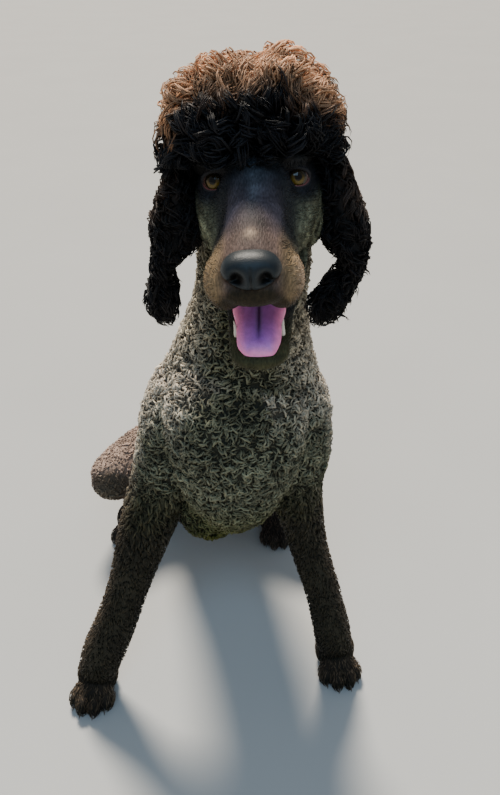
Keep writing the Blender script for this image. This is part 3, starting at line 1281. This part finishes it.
def body_coats(points, faces, finish, dice):
    """The body's coat by part: every part has its own roots, kind of lock and unwrap."""
    fall = (0.0, 0.35, -0.94)
    for name, (kind, node, start, end) in BODY_COATS.items():
        spacing = LOCKS[kind][0] * {"rump_coat": 1.34}.get(name, 1)

        def wanted(places, _):
            return where_grows(places)[name] & (places[:, 2] > LOWEST_ROOT)

        roots, out = scatter(points, faces, spacing, dice, wanted)
        x, y, z = roots.T
        look = (finish, "legs" if kind == "leg" else "coat", [node], body_hue)
        swell = np.clip((z - 0.002) / 0.02, 0.35, 1)
        flow = combed(out, fall, dice, {"leg": 0.5, "pom": 3}.get(kind, 0.9))
        phase, shade = None, 0.0
        if kind == "leg":
            swell = swell * (1 + 0.75 * ramp(z, 0.22, 0.32))
        elif kind != "pom":
            wave, crest = ripple(roots, 0.03, 5), ripple(roots, 0.011, 6)
            rear = ramp(y, 0.12, 0.2)
            flow = turned(out, flow, wave * (2.4 - 0.9 * rear))
            phase = ripple(roots, 0.02, 8) * np.pi + dice.normal(0, 1.3, len(roots))
            near = 1 - 0.35 * ramp(0.36 - z, 0.0, 0.05) * (np.abs(x + 0.025) > 0.05)
            swell = swell * near * (1 + 0.2 * crest) * (1 + 0.12 * rear)
            shade = 0.05 * rear + (0.36 - 0.14 * rear) * crest
        unwrap = round_axis(start, end)
        coat(name, (roots, out), flow, kind, dice, look, unwrap, swell, phase, shade=shade)


def is_leg(places):
    """Where the short coat of the legs begins: below the elbows, and low on the hind legs."""
    x, y, z = places.T
    uneven = 0.03 * ripple(places, 0.018, 61)
    fore = (z < 0.315 + uneven) & (y < 0.19) & (np.abs(x + 0.025) > 0.056)
    rear = (z < 0.072) & (y > 0.28) & (np.abs(x - HIP_MIDDLE) > 0.08)
    return fore | rear


def topknot_coat(points, faces, finish, dice):
    """Long curls that spread from the brow over the crown and stop short above the eyes: a point that
    hangs lower than the brow line in front is lifted to it by four fifths."""
    back = np.linalg.inv(head_matrix())
    centre, brow = moved(np.array([TOPKNOT_CENTRE, (0.0, -0.055, 0.03)]), head_matrix())

    def above_brow(path):
        local = moved(path.reshape(-1, 3), back)
        front = np.clip((0.035 - local[:, 1]) / 0.03, 0, 1)
        side = np.abs(local[:, 0])
        line = 0.0135 - 0.5 * np.maximum(side - 0.04, 0) + 0.004 * ripple(local, 0.016, 51)
        short = np.maximum(line - local[:, 2], 0) * front
        local[:, 2] += 0.8 * short
        return moved(local, head_matrix()).reshape(path.shape)

    def on_crown(places, _):
        local = moved(places, back)
        return local[:, 2] > np.where(local[:, 1] < 0.03, 0.018, 0.002)

    unwrap = round_axis(centre + (0, 0, 0.08), centre - (0, 0, 0.05))
    look = (finish, "topknot", ["topknot"], crown_hue)
    for layer in range(3):
        roots, out = scatter(points, faces, LOCKS["topknot"][0], dice, on_crown)
        flow = turned(out, combed(out, roots - brow, dice, 0.35), 1.1 * ripple(roots, 0.05, 33))
        swell = 1 + 0.16 * ripple(roots, 0.03, 34)
        name = f"topknot_coat_{layer}"
        coat(name, (roots, out), flow, "topknot", dice, look, unwrap, swell, bend=above_brow)


def ear_coats(skins, finish, dice):
    """Long waved locks that hang down the ears and are shorter at their lower ends."""
    for name, points, faces in skins:
        roots, out = scatter(points, faces, LOCKS["ear"][0], dice)
        top, bottom = points[:, 2].max(), points[:, 2].min()
        middle = points.mean(0)
        flow = combed(out, (0.0, 0.0, -1.0), dice, 0.3)
        flow = turned(out, flow, 0.7 * ripple(roots, 0.03, 36))
        swell = 1 - 0.55 * ramp(bottom + 0.03 - roots[:, 2], 0.0, 0.025)
        unwrap = round_axis((*middle[:2], top), (*middle[:2], bottom))
        look = (finish, "ears", [f"ear_{name}"], ear_hue)
        coat(f"ear_coat_{name}", (roots, out), flow, "ear", dice, look, unwrap, swell)


def temple_coat(head, finish, dice):
    """Dark curls on the sides of the skull, between the topknot and the ears, and browner ones on the
    nape."""
    points, faces, _, local = head
    x, y, z = local.T
    grows = ((np.abs(x) > 0.036) & (y > 0.022) & (z > -0.028)) | ((y > 0.08) & (z > -0.06))
    kept = faces[grows[faces].all(1)]
    roots, out = scatter(points, kept, LOCKS["temple"][0], dice)
    flow = combed(out, (0.0, 0.3, -1.0), dice, 0.8)
    unwrap = round_axis((0.004, 0.0, 0.7), (0.004, 0.13, 0.71))

    def hue(places, out):
        nape = ramp(head_places(places)[:, 1], 0.06, 0.1)
        return blend(crown_hue(places, out), (0.2, 0.135, 0.09), nape)

    look = (finish, "topknot", ["head"], hue)
    coat("temple_coat", (roots, out), flow, "temple", dice, look, unwrap)


def face_coat_hue(places, _):
    """The marks of the short hair, paler than those of the face it lies on."""
    return face_hue(head_places(places)) * 1.6


def off_sole(places, normals):
    """Which places of a paw bear hair: not the sole."""
    return (places[:, 2] > LOWEST_ROOT) & (normals[:, 2] > -0.5)


def short_coats(head, paws, finish, dice):
    """Short hair on face and feet, lying back along the head and down the toes. The top of the muzzle,
    the eyes' rims and the tongue's way are left bare."""
    points, faces, inside, local = head
    shut = moved(local, np.linalg.inv(jaw_matrix()))
    x, y, z = local.T
    allowed = (inside < -0.1) & (y > -0.1)
    for side in (1, -1):
        allowed &= np.linalg.norm(local - eye_place(side), axis=1) > EYE_RADIUS + 0.0045
    allowed &= (np.abs(shut[:, 0]) > 0.021) | (shut[:, 1] > -0.074) | (shut[:, 2] < -0.0685)
    allowed &= (np.abs(x) > 0.019) | (y > -0.012) | (z < -0.045)
    kept = faces[allowed[faces].all(1)]
    roots, out = scatter(points, kept, LOCKS["face"][0], dice)
    flow = combed(out, (0.0, 0.85, -0.35), dice, 0.5)
    unwrap = round_axis((0.008, -0.11, 0.67), (0.008, 0.13, 0.7))
    look = (finish, "face", ["head"], face_coat_hue)
    phase = np.full(len(roots), np.pi / 2)
    coat("face_coat", (roots, out), flow, "face", dice, look, unwrap, phase=phase)
    points, faces = paws
    roots, out = scatter(points, faces, LOCKS["paw"][0], dice, off_sole)
    flow = combed(out, (0.0, -0.6, -0.8), dice, 0.6)
    unwrap = round_axis((-0.3, 0.2, 0.02), (0.2, 0.2, 0.02))
    look = (finish, "paws", PAW_NODES, body_hue)
    coat("paw_coat", (roots, out), flow, "paw", dice, look, unwrap)


def lamp(name, kind, place, target, power, colour, **shape):
    """A lamp at a place that shines towards a target."""
    data = bpy.data.lights.new(name, kind)
    for key, value in {"energy": power, "color": colour, **shape}.items():
        setattr(data, key, value)
    made = bpy.data.objects.new(name, data)
    bpy.context.scene.collection.objects.link(made)
    made.location = place
    made.rotation_euler = (Vector(target) - Vector(place)).to_track_quat("-Z", "Y").to_euler()


def studio():
    """A pale floor, a warm sun with a soft edge from behind, and a cooler, broad light in front."""
    points = np.array([(-20, -20, 0), (20, -20, 0), (20, 40, 0), (-20, 40, 0)], float)
    floor = new_object("floor", points, np.array([(0, 1, 2), (0, 2, 3)]))
    made = Finish("floor_paint", Roughness=0.8, Specular_IOR_Level=0.2)
    made.colour(made.mix(made.noise(3.0), (0.36, 0.36, 0.35), (0.39, 0.39, 0.38)))
    floor.data.materials.append(made.material)
    soft = {"angle": math.radians(14)}
    lamp("back_light", "SUN", (0, 0, 0), (0.22, -1.0, -1.35), 8.0, (1.0, 0.92, 0.8), **soft)
    broad = {"shape": "RECTANGLE", "size": 2.2, "size_y": 1.6}
    lamp("front_light", "AREA", (0.1, -2.3, 2.9), (0.05, -0.3, 0.4), 54, (0.42, 0.7, 1.0), **broad)
    world = bpy.data.worlds.new("studio")
    bpy.context.scene.world = world
    world.use_nodes = True
    background = world.node_tree.nodes["Background"]
    background.inputs["Color"].default_value = (0.92, 0.95, 1.0, 1.0)
    background.inputs["Strength"].default_value = 0.41


def camera():
    """The camera as worked out from the photograph: 34 degrees down, a focal length of 720 px on a
    picture 795 px high."""
    down, focal, picture_height, sensor = 34, 720, 795, 36.0
    data = bpy.data.cameras.new("camera")
    data.sensor_width = sensor
    data.lens = sensor * focal / picture_height
    made = bpy.data.objects.new("camera", data)
    made.location = (0.056, -0.84, 0.877)
    made.rotation_euler = (math.radians(90 - down), 0, 0)
    bpy.context.scene.collection.objects.link(made)
    bpy.context.scene.camera = made


def main():
    dice = np.random.default_rng(7)
    camera()
    studio()
    under = skin_finish("skin_under_coat")
    curls = coat_finish("curly_hair")
    body = body_skin(under)
    head = head_skin(face_finish())
    eye, lid = eye_finish(), lid_finish()
    for name, side in SIDES:
        eye_ball(name, side, eye)
        lids(name, side, lid)
    nose(nose_finish())
    tongue(tongue_finish())
    teeth(tooth_finish())
    ear_parts = ear_skins(under)
    core = topknot_core(under)
    feet = paw_skins(under, claw_finish())
    body_coats(*body, curls, dice)
    topknot_coat(*core, curls, dice)
    temple_coat(head, curls, dice)
    ear_coats(ear_parts, curls, dice)
    short_coats(head, feet, curls, dice)


main()
